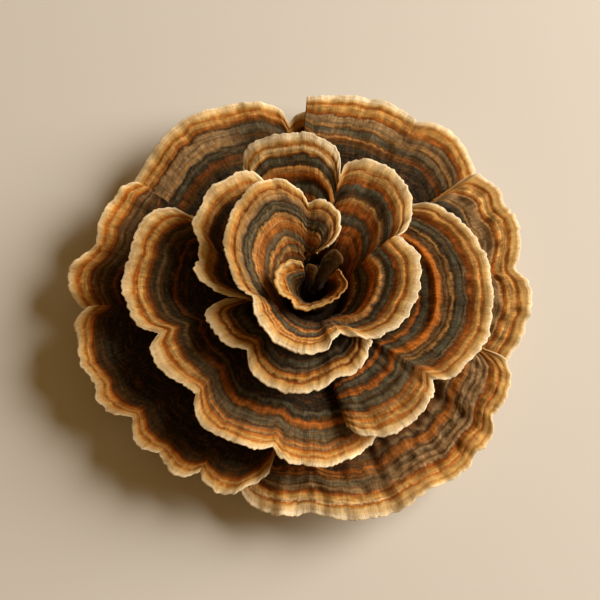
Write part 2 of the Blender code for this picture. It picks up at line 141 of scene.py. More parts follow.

# ---------------- the caps, shaped as in the part
# For each cap:
# - "root": one (bearing, radius, height) round the leaning axis for each end of a lobe
# - "lobes": the runs of its free margin as (x, y, height), each one after the first from where the last
#   one ends, in a sharp notch
# - "arch": the sheet's bend, from 0, straight, to 1, upright at the root and level at the margin
# - "folds": how far the sheet is lifted, or below zero sunk, behind each notch
# - "zones": colours and widths in mm from the margin inwards. Lists parted by / turn into one another
#   between the places in "turns", counted in lobes from the cap's start
# - "sides": how far in the zones follow each side, how many times closer together they lie there, and
#   how far the side curls down
# - "uneven": how strong scallops and ruffles are, and "crumple": how high the folds further in, in mm
# - "tone": painted light and shade: above 1 its margin is painted lighter, on caps on the shaded side,
#   and below 1 the whole cap is painted darker, on caps facing the light and in the shaded heart
HIDDEN = (0, 1.5, 0)  # a side that a neighbour covers
CAPS = {
    "outer_cap_back_left": {
        "arch": 0.35, "folds": [-0.6], "turns": [(0.52, 0.76)], "uneven": 0.35, "tone": 1.05,
        "root": [(150, 14.4, 3.4), (96, 14.4, 3.4), (82, 14.4, 3.4)],
        "lobes": [
            [(-47, 24.5, 8.5), (-45, 31.5, 9), (-40, 40.5, 10.5), (-33.5, 48, 11.5), (-24, 52.5, 11.5),
             (-13, 54.5, 10.5), (-7, 53, 10), (-4.5, 49, 9.5)],
            [(-1.5, 52.5, 9), (5, 53.5, 8.5)],
        ],
        "zones": """
        pale .4 cream 1.2 straw .8 ochre .3 rust .5 honey 1.4 orange 1 burnt .3 umber .3 taupe 2 fawn .3
        taupe 1.6 copper .4 taupe .7 soot 1 slate 1 soot 1 burnt 1.6 umber 1.4 soot 1.4 bark 5
        / pale .4 cream 1 straw .4 ochre .4 rust .7 honey .9 orange .8 burnt .6 umber .4 soot .8 slate 1.6
        soot .8 umber 1.2 soot 1.4 bark 5
        """,
    },
    "outer_cap_back_right": {
        "arch": 0.35, "folds": [0.5], "turns": [(0.7, 1.3)], "uneven": 0.6, "crumple": 0.22,
        "root": [(104, 13.9, 6.8), (60, 14.1, 5.5), (27, 14.4, 3.2)],
        "lobes": [
            [(0.5, 55, 12.5), (9.5, 56, 12), (20, 54.5, 12), (25.5, 52, 11.5), (29, 48.5, 11)],
            [(36, 47, 11.5), (41, 43, 10.5), (44, 36, 9.5), (44.5, 31, 8.5), (45.5, 23.5, 8)],
        ],
        "zones": """
        pale 1.1 cream .7 straw .4 ochre .4 rust .7 honey 1.6 ochre .4 rust .7 burnt .3 taupe 1.8 stone .7
        copper .7 umber .5 slate 1 stone .8 burnt .4 copper .5 burnt .5 umber 1.2 soot 1.6 bark 5
        / pale .6 cream .6 honey .5 orange .4 ochre .5 honey 1 orange .5 rust .8 burnt .3 umber .6
        stone .9 umber .8 fawn .5 copper .8 umber .5 stone 1.4 soot .6 umber .9 burnt 1.2 soot 1.6 bark 5
        """,
    },
    "outer_cap_right": {
        "arch": 0.35, "folds": [0.4], "sides": ((3, 1.6, 0.5), HIDDEN), "crumple": 0.6, "tone": 0.94,
        "root": [(44, 13.9, 6.8), (8, 14.1, 5.5), (-27, 14.4, 3.2)],
        "lobes": [
            [(40, 31, 12.5), (44, 32.5, 12.5), (50, 28.5, 11.5), (51, 25, 11.5), (54, 21, 11.5),
             (55, 15, 11), (53, 8, 10)],
            [(56, 4, 10.5), (56.5, -3.5, 10.5), (55, -7, 10), (54, -10.5, 9.5), (50, -16.5, 8.5),
             (46, -23, 8)],
        ],
        "zones": """
        pale .4 cream .5 honey .4 straw 1 honey .4 ochre .3 rust .7 honey 1 copper .6 straw .5 ochre .4
        rust .6 burnt .3 copper .7 taupe 1.2 fawn .5 taupe .8 umber .4 copper .7 slate 1.2 soot 1 rust 1.2
        umber 1.5 bark 5
        """,
    },
    "outer_cap_front_right": {
        "arch": 0.35, "folds": [0.9, 0.9, 0.6], "turns": [(2.2, 2.9)], "sides": ((4, 1.5, 0), HIDDEN),
        "crumple": 0.5,
        "root": [(-10, 13.9, 6.8), (-34, 14, 6.2), (-45, 14, 5.8), (-88, 14.2, 4.6), (-112, 14.4, 3.4)],
        "lobes": [
            [(47, -16, 12.5), (49, -17.5, 12.5), (50, -21.5, 12.5), (48.5, -28, 12), (45.5, -31, 11.5)],
            [(45, -35.5, 11.5), (43.5, -38.5, 11), (40.5, -40.5, 11)],
            [(38.5, -44.5, 11), (31, -48.5, 11), (23.5, -53.5, 11), (16, -56, 11), (8, -56.5, 11),
             (1, -54.5, 10)],
            [(-6, -55.5, 10), (-12, -53, 9), (-16.5, -48.5, 8.5)],
        ],
        "zones": """
        cream .5 straw .4 ochre .4 straw .9 honey .4 rust .7 honey .9 ochre .5 rust .6 burnt .5 taupe 1
        umber .3 fawn .5 taupe .9 umber .4 stone .6 taupe .8 umber .5 fawn .5 orange 1.8 burnt .5 soot .6
        fawn .6 stone .6 burnt .8 umber 1.3 bark 5
        / pale 1 cream 1.4 straw .4 ochre .2 rust .5 cream .4 straw .9 honey .5 ochre .2 rust .5 burnt .4
        fawn .4 taupe .9 umber .3 stone .6 slate .7 fawn .4 umber .4 orange .8 umber .3 rust .9 soot 1
        umber 1.3 bark 5
        """,
    },
    "outer_cap_front_left": {
        "arch": 0.35, "folds": [0.6, 0.6, 0.6], "sides": ((7, 1.5, 0), (2, 1.5, 0)), "tone": 1.12,
        "root": [(266, 13.9, 6.8), (241, 13.9, 6.8), (229, 13.9, 6.8), (217, 13.9, 6.8),
                 (181, 13.9, 6.8)],
        "lobes": [
            [(-9, -45.5, 12), (-13, -48.5, 12), (-18.5, -50.5, 11.5), (-23.5, -49, 11),
             (-25.5, -45, 10.5)],
            [(-29, -46.5, 11), (-32.5, -45, 11.5), (-35.5, -40.5, 10.5)],
            [(-38.5, -40, 11), (-41.5, -37.5, 11.5), (-42.5, -31.5, 10.5)],
            [(-46.5, -31, 11), (-50.5, -28, 11.5), (-52, -23.5, 11.5), (-56, -17.5, 12),
             (-56.5, -12, 12.5), (-57.5, -7, 12.5), (-54.5, -3.5, 12.5)],
        ],
        # Its zones darken soon: partly its own dark zones, partly painted shade where the middle tier's
        # shadow falls on it.
        "zones": """
        pale .3 cream .7 straw .6 ochre .2 rust .5 honey .6 ochre .2 rust .6 burnt .8 umber .8 soot .8
        umber .5 soot 1.2 bark 1.2 soot .8 bark 6
        """,
    },
    "outer_cap_left": {
        "arch": 0.35, "folds": [-0.6], "tone": 1.3,
        "root": [(195, 14.4, 3.4), (164, 14.1, 5), (139, 13.9, 6.8)],
        "lobes": [
            [(-53.5, -11.5, 8), (-54.5, -4.5, 8.5), (-57.5, -1.5, 9), (-60, 3, 10), (-59.5, 7.5, 10.5),
             (-56.5, 11, 11), (-53.5, 14, 10.5)],
            [(-53, 19, 11.5), (-50, 25, 12), (-46.5, 29.5, 12.5), (-43.5, 30.5, 12.5)],
        ],
        "zones": """
        pale .4 cream .8 straw .3 ochre .4 rust 1 honey 1.3 ochre .5 rust .6 burnt .6 fawn 1 umber .8
        stone .8 umber 1 soot 1.5 burnt 1 bark 5
        """,
    },
    "middle_cap_left": {
        "arch": 0.5, "folds": [1.0, 0.6, 0.6], "turns": [(1.3, 2.2)], "sides": ((6, 1.5, 0), (3, 1.5, 0)),
        "tone": 1.16,
        "root": [(143, 12.2, 11.5), (198, 12.2, 11.5), (225, 12.2, 11.5), (258, 12.3, 11),
                 (300, 12.7, 9.4)],
        "lobes": [
            [(-28.5, 18, 18), (-32, 20, 18.5), (-36.5, 20, 19), (-42, 15.5, 19.5), (-44, 8, 19.5),
             (-45.5, 1.5, 19.5), (-44.5, -5, 19.5), (-41.5, -10.5, 19.5), (-36, -12.5, 18.5)],
            [(-37.5, -16, 19), (-35.5, -21, 19.5), (-31, -25, 19.5), (-26.5, -28, 18.5)],
            [(-26.5, -31.5, 19), (-23.5, -37, 19.5), (-16.5, -40.5, 19.5), (-11.5, -42, 19),
             (-8, -41, 18.5)],
            [(-6, -43.5, 18.5), (-1, -45.5, 18.5), (6.5, -45, 17), (13.5, -41.5, 15.5),
             (18.5, -35, 14.5)],
        ],
        "zones": """
        pale .5 cream 1.4 straw .6 ochre .3 rust 1 honey .4 straw .8 ochre .3 rust .8 burnt .5 umber .9
        soot .9 stone .8 umber .6 soot 1.6 bark 1 burnt 1 bark 5
        / pale .4 cream .7 straw .5 rust .6 honey .6 ochre .4 rust .6 fawn .7 copper .4 rust .4 fawn .5
        umber .5 stone .6 slate .9 stone .4 slate .6 umber .5 orange .9 rust .8 burnt .6 soot 1 slate 1
        bark 5
        """,
    },
    "middle_cap_right": {
        "arch": 0.5, "folds": [1.0], "turns": [(0.85, 1.2)], "sides": ((4, 1.5, 0), (0, 1.5, 1.8)),
        "crumple": 0.24, "tone": 0.96,
        "root": [(52, 12.2, 11.5), (-40, 12.2, 12.2), (-76, 12, 13.2)],
        "lobes": [
            [(24.5, 21.5, 17.5), (30, 22, 18.5), (35.5, 19.5, 19.5), (42, 13, 19.5), (45, 6, 19.5),
             (46, -1, 19.5), (45.5, -8, 19.5), (43, -15.5, 19.5), (38.5, -21, 19.5), (35, -24, 19),
             (30.5, -24.5, 18.5)],
            [(30.5, -28.5, 19), (27.5, -33, 19.5), (20.5, -38, 19.5), (16, -38.5, 19.5), (12, -38, 19.5),
             (10, -35.5, 19.5)],
        ],
        "zones": """
        pale .4 cream .5 straw .8 honey .6 rust .6 honey 1.1 orange 1 rust .7 burnt .4 umber .4 stone .4
        soot .4 slate 1.6 soot .4 umber .5 copper .6 umber .5 fawn .9 umber .5 orange .7 glow 1.5
        orange .4 umber .9 slate 1.3 soot .8 rust 1 umber 1 bark 5
        / pale .5 cream 1.2 ochre .3 rust .7 straw .8 honey .6 rust .8 ochre .3 copper 1.4 rust .5
        umber .9 slate .7 stone .4 slate .5 soot .9 umber .4 slate 1.2 soot .3 orange .9 rust .8 burnt .7
        soot .8 slate 1.2 soot .8 rust 1 bark 5
        """,
    },
    "upper_cap_left": {
        "arch": 0.5, "folds": [-0.3], "sides": (HIDDEN, (2, 1.5, 0)), "tone": 1.16,
        "root": [(128, 9.2, 16.2), (172, 9.2, 16.2), (199, 9.2, 16.6)],
        "lobes": [
            [(-9, 24, 24.5), (-13.5, 27.5, 25.5), (-19, 26, 25.5), (-24.5, 22, 25.5), (-27, 16.5, 25.5),
             (-28, 14, 25.5), (-26, 8.5, 25), (-26, 4.5, 24.5)],
            [(-27.5, 1.5, 25), (-25.5, -1.5, 25), (-22.5, -3.5, 25), (-18.5, -5, 24.5)],
        ],
        "zones": """
        pale .5 cream 1.4 straw .6 ochre .4 rust .5 copper 1 ochre .4 burnt .4 umber .6 soot 1.8 burnt .8
        bark 5
        """,
    },
    "upper_cap_front": {
        "arch": 0.5, "folds": [0.6, 0.6], "sides": ((3, 1.5, 0), (5, 1.5, 0)),
        "root": [(188, 10.6, 13.2), (232, 9.6, 14.6), (285, 9.6, 14.6), (318, 9.8, 14)],
        "lobes": [
            [(-20, -5, 21.5), (-24, -8, 22.5), (-23.5, -11.5, 23.5), (-20.5, -16, 24.5),
             (-14, -19, 24.5)],
            [(-13.5, -23.5, 25), (-10, -27.5, 25), (-4.5, -30, 25.5), (1.5, -29.5, 25.5), (7, -26, 25)],
            [(11, -25, 25), (14, -21.5, 24.5), (15.5, -16, 23.5)],
        ],
        "zones": """
        pale .4 cream .9 straw .9 honey .4 rust .5 burnt .5 honey .8 ochre .5 rust .5 umber .6 stone .5
        soot 1.3 slate 1.5 umber .6 bark 5
        """,
    },
    "crown_cap": {
        "arch": 0.6, "folds": [-0.5, -0.5, -0.8, 1.2, -0.8],
        "turns": [(1.9, 2.1), (2.85, 3.15), (3.95, 4.05), (4.95, 5.05)],
        "sides": ((3.5, 1.5, 0), (6, 1.5, 0)),
        "root": [(91, 8.8, 22.6), (104, 7, 20.3), (215, 7, 19.4), (292, 7.4, 18.6), (380, 8.4, 17.5),
                 (434, 8.9, 16), (489, 10.9, 12.4)],
        "lobes": [
            [(5.4, 7, 26), (7.8, 9.5, 27.5), (8.4, 13, 28.5), (7, 16.5, 29), (4, 18.5, 29),
             (0.5, 17.5, 28.5)],
            [(-1.5, 21, 29.5), (-6, 23.5, 30), (-11, 23, 30.5), (-16, 18, 30.5), (-19.5, 11.5, 30.5),
             (-19.5, 4.5, 30), (-17, -3, 29.5), (-13, -6, 28.5)],
            [(-12.5, -11, 29), (-9, -16.5, 29.5), (-2, -21, 29.5), (4, -20, 29.5), (8, -15.5, 28.5)],
            [(15, -17.5, 29), (22, -14, 29), (26, -7, 29), (28, 1.5, 28.5), (26.5, 6, 28),
             (22, 10, 27.5)],
            [(25, 12.5, 26.5), (26, 16.5, 26.5), (25.5, 22, 27), (21, 27.5, 27.5), (15, 30, 27.5),
             (10, 29, 27), (8.5, 26, 26.5)],
            [(7.5, 33, 27), (3, 37, 27), (-4, 38, 26.5), (-12, 37, 24.5), (-16, 33, 23),
             (-15.5, 27, 21.5)],
        ],
        # The third list, for the right lobe, has wide bright brim and glow zones: painted light in the
        # hollow that the lobe's steep wall keeps in shade.
        "zones": """
        pale .3 cream .4 straw 1.1 ochre .3 rust .7 burnt .2 copper 1.3 taupe .9 fawn .4 umber .3 soot .3
        slate .8 soot .3 stone .6 slate .5 soot .2 umber .3 copper 1.1 rust .4 copper .7 rust .4
        orange 1.2 burnt .5 stone .6 slate .7 umber .4 copper 1 rust .6 umber .5 stone .7 copper .7
        burnt 1.2 umber 4
        / pale .7 cream .9 straw .8 ochre .2 rust .5 straw .4 rust .5 honey .7 rust .4 umber .3 soot .2
        slate 1.3 burnt .4 copper .3 rust .6 burnt .5 soot .6 slate .8 burnt .8 umber 2 bark 4
        / pale .7 cream 1 straw 1.2 ochre .3 rust .7 honey .9 copper .8 rust .7 burnt .4 soot .3 slate 1.2
        soot .9 fawn .5 brim 1.2 glow 2 rust .8 umber .6 slate 1.4 soot 1 umber 1 copper 1 rust 1 burnt 4
        / pale .5 cream 1.2 straw .9 rust .6 straw .5 honey .7 copper .5 orange .9 rust .5 burnt .4
        slate 1.5 soot 1.2 umber 1.1 copper .9 orange .9 rust 1.5 burnt .7 soot .8 slate 1.4 umber .8
        rust 1.4 burnt 1 rust 2 burnt 4
        / pale 1.3 cream .7 straw .4 ochre .2 rust .6 straw .4 cream .9 straw .5 ochre .3 burnt .4 soot .2
        slate 1.6 soot .6 umber .4 brim 1.6 glow 1.3 burnt .7 soot 1 slate 1.6 umber 1 rust 1 burnt 4
        """,
    },
    "heart_cap": {
        "arch": 0.7, "folds": [-0.3], "turns": [(1.3, 1.6)], "sides": ((1, 1.5, 0), (3, 1.5, 0)),
        "tone": 0.92,
        "root": [(126, 3, 20.2), (240, 3, 20.2), (385, 3, 20.2)],
        "lobes": [
            [(-1.5, 3, 27.5), (-4, 2.5, 28.5), (-6.5, 0.5, 29), (-7.5, -2.5, 29), (-6.5, -6, 29),
             (-4, -7.5, 28.5)],
            [(-2.5, -9.5, 29), (0.5, -10, 29), (4.5, -9, 29), (8.5, -6, 28.5), (10, -3, 28), (8, 1, 27)],
        ],
        "zones": """
        straw .4 cream .4 copper .5 ochre .4 rust .8 burnt .3 copper .5 burnt .3 slate 1.2 soot .4 umber 1
        bark 4
        / copper .3 fawn .3 rust .8 orange .8 rust .5 burnt .8 umber 1 bark 4
        """,
    },
    "heart_bud": {
        # The bud lies in the shade of the heart's lobes: its very low tone and the darkness of its zones
        # are painted shade.
        "arch": 0.4, "folds": [-0.3], "turns": [(0.95, 1.05), (1.4, 1.6)], "tone": 0.36,
        "root": [(128, 1.2, 21), (80, 1.3, 21), (42, 1.4, 21)],
        "lobes": [
            [(-0.2, 2.9, 22.6), (0.7, 3.7, 23.2), (2.2, 3.5, 23.2), (3, 2.7, 22.4)],
            [(3.9, 5.2, 23), (5.4, 7, 23.5), (7.6, 7.2, 24), (8.9, 5.8, 23.8), (8.9, 4.2, 23)],
        ],
        "zones": """
        copper .4 fawn 1.4 burnt 1.6 umber 5
        / umber .4 bark 8
        / copper .4 fawn .4 burnt .8 umber 8
        """,
    },
}


# ---------------- curves, noise and fading
def leaning_axis(height):
    """The middle of the foot at each height: straight up at first, then leaning."""
    share = np.clip(height / FOOT_TOP, 0.0, 1.0)
    return np.stack([FOOT_LEAN[0] * share**2, FOOT_LEAN[1] * share**2, height], axis=-1)


def curve_through(points, samples_per_span=MARGIN_SAMPLES):
    """Dense points on a smooth curve through the given ones, with no loops."""
    points = np.array(points, float)
    ends = np.vstack([points[0] * 2 - points[1], points, points[-1] * 2 - points[-2]])
    dense = [points[:1]]
    for a, b, c, d in zip(ends, ends[1:], ends[2:], ends[3:]):
        spans = [max(np.linalg.norm(end - start), 1e-6) ** 0.5 for start, end in ((a, b), (b, c), (c, d))]
        knot = np.cumsum(spans)
        t = knot[0] + (knot[1] - knot[0]) * np.arange(1, samples_per_span + 1)[:, None] / samples_per_span
        ab = a + (b - a) * t / knot[0]
        bc = b + (c - b) * (t - knot[0]) / (knot[1] - knot[0])
        cd = c + (d - c) * (t - knot[1]) / (knot[2] - knot[1])
        abc = ab + (bc - ab) * t / knot[1]
        bcd = bc + (cd - bc) * (t - knot[0]) / (knot[2] - knot[0])
        dense.append(abc + (bcd - abc) * (t - knot[0]) / (knot[1] - knot[0]))
    return np.vstack(dense)


def reach_along(points):
    """How far along the line each of its points lies."""
    return np.concatenate([[0.0], np.cumsum(np.linalg.norm(np.diff(points, axis=0), axis=1))])


def sample(values, positions, at):
    """Each column of values, given at the positions, read at the places wanted."""
    return np.stack([np.interp(at, positions, column) for column in np.asarray(values).T], axis=-1)


def unit(vectors):
    return vectors / np.maximum(np.linalg.norm(vectors, axis=-1, keepdims=True), 1e-9)


def eased(t):
    return t * t * (3 - 2 * t)


def smooth_step(low, high, x):
    return eased(np.clip((x - low) / (high - low), 0.0, 1.0))


def fade(distance, width):
    return np.exp(-distance / width)


def hump(distance, width):
    return np.exp(-((distance / width) ** 2))


def noise_1d(x, seed):
    """Smooth random values from -1 to 1, about one swing for each unit of x."""
    table = np.random.default_rng(seed).uniform(-1, 1, 4096)
    cell = np.floor(x).astype(int)
    share = eased(x - cell)
    return table[cell % 4096] * (1 - share) + table[(cell + 1) % 4096] * share


def noise_2d(x, y, seed):
    table = np.random.default_rng(seed).uniform(-1, 1, (256, 256))
    i = np.floor(x).astype(int)
    j = np.floor(y).astype(int)
    u = eased(x - i)
    v = eased(y - j)
    low = table[i % 256, j % 256] * (1 - u) + table[(i + 1) % 256, j % 256] * u
    high = table[i % 256, (j + 1) % 256] * (1 - u) + table[(i + 1) % 256, (j + 1) % 256] * u
    return low * (1 - v) + high * v


def outward_from_axis(angle):
    return np.stack([np.cos(angle), np.sin(angle), np.zeros_like(angle)], axis=-1)


def smoothed(values, spread):
    """Values averaged along their first axis with a bell of that many samples."""
    reach = int(math.ceil(spread * 2.5))
    bell = np.exp(-0.5 * (np.arange(-reach, reach + 1) / spread) ** 2)
    bell /= bell.sum()
    padded = np.concatenate([np.repeat(values[:1], reach, 0), values, np.repeat(values[-1:], reach, 0)])
    return sum(weight * padded[k : k + len(values)] for k, weight in enumerate(bell))


# ---------------- a cap's upper surface
def fold_height(depth, share):
    return depth * np.maximum(0.0, 1 - share / FOLD_REACH) ** 2


def cap_columns(cap):
    """Root point, margin point, fold height, distance from a notch and place in lobes, by column."""
    root_curve = curve_through(cap["root"], ROOT_SAMPLES)
    folds = [0.0, *cap["folds"], 0.0]
    roots, margins, lifts, notch_gaps, places = [], [], [], [], []
    start = []
    for number, lobe in enumerate(cap["lobes"]):
        dense = curve_through(start + lobe)
        start = lobe[-1:]
        reach = reach_along(dense)
        count = max(8, round(reach[-1] / COLUMN_SPACING))
        share = np.arange(1 if number else 0, count + 1) / count
        margins.append(sample(dense, reach, share * reach[-1]))
        root = sample(root_curve, np.arange(len(root_curve)), (number + share) * ROOT_SAMPLES)
        out = outward_from_axis(np.radians(root[:, 0]))
        roots.append(leaning_axis(root[:, 2]) + root[:, 1:2] * out)
        lifts.append(fold_height(folds[number], share) + fold_height(folds[number + 1], 1 - share))
        before = share * reach[-1] if number else np.full_like(share, FAR)
        after = (1 - share) * reach[-1] if number < len(cap["lobes"]) - 1 else np.full_like(share, FAR)
        notch_gaps.append(np.minimum(before, after))
        places.append(number + share)
    return np.vstack(roots), np.vstack(margins), *map(np.concatenate, (lifts, notch_gaps, places))


def row_distances(length):
    """Distances of the rows from the margin: close together there, wider apart towards the root."""
    rows = [0.0]
    while rows[-1] < length:
        wider = max(0.0, rows[-1] - EVEN_ROWS) * ROW_GROWTH
        rows.append(rows[-1] + min(ROW_SPACING[0] + wider, ROW_SPACING[1]))
    return np.array(rows[:-1] + [length])


def plain_grid(root, margin, lift, arch, root_reach):
    """Points of the sheet without relief, and each row's share of the way from root to margin."""
    typical = float(np.median(np.linalg.norm(margin - root, axis=1)))
    rows = row_distances(typical)
    share = np.clip(1 - (MARGIN_INSET + rows * (typical - MARGIN_INSET) / typical) / typical, 0.0, 1.0)
    run = (1 - arch) * share + arch * (1 - np.cos(share * math.pi / 2))
    rise = (1 - arch) * share + arch * np.sin(share * math.pi / 2)
    # Below the root the sheet runs straight on into the foot.
    beyond = -root_reach / typical * np.array(ROOT_ROWS)
    share = np.append(share, beyond)
    run = np.append(run, (1 - arch) * beyond)
    rise = np.append(rise, (1 - arch + arch * math.pi / 2) * beyond)
    grid = root[:, None] + (margin - root)[:, None] * run[None, :, None]
    arching = np.sin(np.maximum(share, 0.0) * math.pi)
    grid[..., 2] = root[:, None, 2] + (margin - root)[:, None, 2] * rise + lift[:, None] * arching
    return grid, share


def edge_gaps(grid):
    """Each point's distance over the sheet from the margin and from its two sides."""
    steps, sideways = (np.linalg.norm(np.diff(grid, axis=axis), axis=2) for axis in (1, 0))
    inward = np.pad(np.cumsum(steps, axis=1), ((0, 0), (1, 0)))
    from_start = np.pad(np.cumsum(sideways, axis=0), ((1, 0), (0, 0)))
    return inward, from_start, from_start[-1:] - from_start


def surface_normals(grid):
    normals = unit(np.cross(np.gradient(grid, axis=0), np.gradient(grid, axis=1)))
    return normals if normals[..., 2].sum() > 0 else -normals


def zone_list(text):
    words = text.split()
    return [(colour, float(width)) for colour, width in zip(words[::2], words[1::2])]


def relief_of(zones, distance, arc):
    """Height of the growth ridges: high ones fade out towards the notches."""
    middles, heights, reach = [], [], 0.0
    for colour, width in zones:
        soft = min(0.25, width / 3)
        middles += [reach + soft, reach + width - soft]
        heights += [PALETTE[colour][3]] * 2
        reach += width
    heights = np.array(heights)
    low = np.interp(distance, middles, np.minimum(heights, LOW_RELIEF))
    return low + arc * np.interp(distance, middles, np.maximum(heights - LOW_RELIEF, 0.0))


def corner_slant(root, margin, along, sides):
    """The sine of the angle between the margin and the columns near a free corner, and 1 elsewhere."""
    heading = unit(np.gradient(margin[:, :2], axis=0))
    column = unit((margin - root)[:, :2])
    sine = np.abs(heading[:, 0] * column[:, 1] - heading[:, 1] * column[:, 0])
    ends = zip((along, along[-1] - along), sides)
    corner_gap = np.minimum(*(gap if side[0] else FAR + gap for gap, side in ends))
    return (1 - hump(corner_gap, CORNER_REACH) * (1 - np.clip(smoothed(sine, 3.0), 0.25, 1.0)))[:, None]


def cap_sheet(cap, tier, zone_lists, seed):
    """The upper surface with its relief, its thickness, and the values that the material reads."""
    sides = cap.get("sides", (HIDDEN, HIDDEN))
    root, margin, lift, notch_gap, place = cap_columns(cap)
    along = reach_along(margin)
    grid, share = plain_grid(root, margin, lift, cap["arch"], ROOT_REACH[tier])
    inward, *side_gaps = edge_gaps(grid)
    length = inward[:, -1 - len(ROOT_ROWS)]
    off_root = np.clip(share * 4, 0, 1)

    def noise(spacing, layer):
        return noise_1d(along / spacing, seed + layer)

    def sheet_noise(spacing, inward_spacing, layer):
        return noise_2d(along[:, None] / spacing, inward / inward_spacing, seed + layer)

    # Zones follow the margin, closer together where the sheet is short and along its free sides.
    longest = smoothed(np.maximum.reduce([np.roll(length, k) for k in range(-24, 25, 8)]), 18)
    zone = inward * ((longest / length) ** SHORT_CROWDING)[:, None]
    recess = smoothed(length, 9.0) - length
    zone += NOTCH_FADE * recess[:, None] * (1 - fade(inward, 5.0)) * off_root
    # Where the margin turns a free corner it runs slantwise to the columns, and its zones keep beside it.
    slant = corner_slant(root, margin, along, sides)
    zone *= slant + (1 - slant) * smooth_step(4.0, 14.0, inward)
    zone += 0.4 * hump(notch_gap, 1.5)[:, None] * (1 - fade(inward, 1.5))
    curl = np.zeros_like(zone)
    for gap, (wrap, crowding, depth) in zip(side_gaps, sides):
        if wrap:
            zone = np.minimum(zone, crowding * gap + 0.35 * inward + 1.2 * np.maximum(0.0, inward - wrap))
        else:
            zone *= 1 + 0.5 * fade(gap, 2.5)
        curl -= depth * np.clip(1 - gap / CURL_WIDTH, 0, 1) ** 2 * off_root
    wander = 0.30 * noise(3.3, 7)[:, None] * fade(inward, 14.0)
    zone = np.maximum(0.0, zone + wander * smooth_step(0.5, 3.0, inward))

    # The margin's scallops and crumbs, in its own plane.
    warp = along / 3.1 + 0.55 * noise(4.3, 0)
    scallop = np.abs(np.sin(math.pi * warp)) ** 0.7 - 0.6
    scallop *= 0.11 + 0.13 * noise(6.0, 1)
    crumb = sum(height * noise(spacing, layer) for height, spacing, layer in CRUMBS)
    crumb += 0.30 * noise(5.3, 8) * smooth_step(0.0, 3.0, notch_gap)
    uneven = cap.get("uneven", 1.0)
    out = unit((margin - root) * [1.0, 1.0, 0.0])
    grid += out[:, None] * (uneven * (scallop + crumb)[:, None] * fade(inward, 2.6))[..., None]

    # Ruffles and pleats of the margin, swells and crumples of the sheet, and the zones' ridges.
    ruffle_height, pleat_height = RUFFLES[tier]
    ruffle = uneven * ruffle_height * noise(3.9, 4)[:, None] * fade(inward, 11.0)
    pleat = pleat_height * noise(2.1, 9)[:, None] * fade(inward, 9.0)
    pleat = pleat + 0.05 * noise(1.0, 5)[:, None] * fade(inward, 4.0)
    swell = 0.40 * sheet_noise(6.0, 7.0, 6) + 0.10 * sheet_noise(1.6, 2.2, 11)
    crumple = cap.get("crumple", 0.0) * sheet_noise(2.6, 2.3, 12)
    swell = swell + crumple * smooth_step(1.5, 4.5, inward)
    quiet = smooth_step(0.0, 5.0, np.minimum(*side_gaps))
    droop = -0.05 * np.clip(1 - inward / 1.5, 0, 1) ** 2
    turn = np.zeros(len(place))
    for low, high in cap.get("turns", []):
        turn += smooth_step(low, high, place)
    arc = smooth_step(0.2, 0.8, np.sin(math.pi * (place % 1.0)))[:, None]
    ridges = sum(
        relief_of(zones, zone, arc) * np.clip(1 - np.abs(turn - number), 0, 1)[:, None]
        for number, zones in enumerate(zone_lists)
    )
    relief = (ruffle + swell) * quiet + pleat + ridges + droop + curl
    grid += surface_normals(grid) * relief[..., None]

    # Thick at the root, thin at the margin and notches, and thinner again along every edge.
    thickness = ROOT_THICKNESS + (RIM_THICKNESS - ROOT_THICKNESS) * share[None, :]
    fullness = smooth_step(0.0, 5.0, notch_gap)
    thickness = thickness + (NOTCH_THICKNESS - thickness) * (1 - fullness[:, None])
    thickness = thickness * (1 - LIP_TAPER * hump(np.minimum.reduce(edge_gaps(grid)), LIP_WIDTH))
    values = {"zone": zone, "along": along[:, None] + 0 * zone, "turn": turn[:, None] + 0 * zone}
    values["rise"] = length[:, None] - inward
    return grid, thickness, values


# ---------------- closed pieces
def quads(ids):
    corners = [ids[:-1, :-1], ids[1:, :-1], ids[1:, 1:], ids[:-1, 1:]]
    return np.stack(corners, axis=-1).reshape(-1, 4).tolist()


def band(near, far):
    """Faces between two closed rings of points."""
    return np.stack([near, np.roll(near, -1), np.roll(far, -1), far], axis=-1).tolist()


def round_the_edge(columns, rows):
    """Grid places up the first column, along the margin, down the last and back along the root."""
    loop = [(0, r) for r in range(rows - 1, 0, -1)] + [(c, 0) for c in range(columns - 1)]
    loop += [(columns - 1, r) for r in range(rows - 1)]
    return np.array(loop + [(c, rows - 1) for c in range(columns - 1, 0, -1)])


def lip_rings(top, below, carrier, loop):
    """Rings of points that round the sheet's edge, all but its root, from its top to its underside."""
    columns, rows = top.shape[:2]
    at = loop[:, 0], loop[:, 1]
    heading = np.roll(top[at], -1, axis=0) - np.roll(top[at], 1, axis=0)
    outward = unit(np.cross(heading, carrier[at]))
    inside = top[np.clip(loop[:, 0], 1, columns - 2), np.clip(loop[:, 1], 1, rows - 2)]
    if np.sum((top[at] - inside) * outward) < 0:
        outward = -outward
    middle = (top[at] + below[at]) / 2
    half = (top[at] - below[at]) / 2
    reach = outward * np.linalg.norm(half, axis=1, keepdims=True)
    bulge = LIP_BULGE * (loop[:, 1:] < rows - 1)
    turns = [math.pi * ring / (LIP_RINGS + 1) for ring in range(1, LIP_RINGS + 1)]
    return [middle + half * math.cos(turn) + reach * math.sin(turn) * bulge for turn in turns]


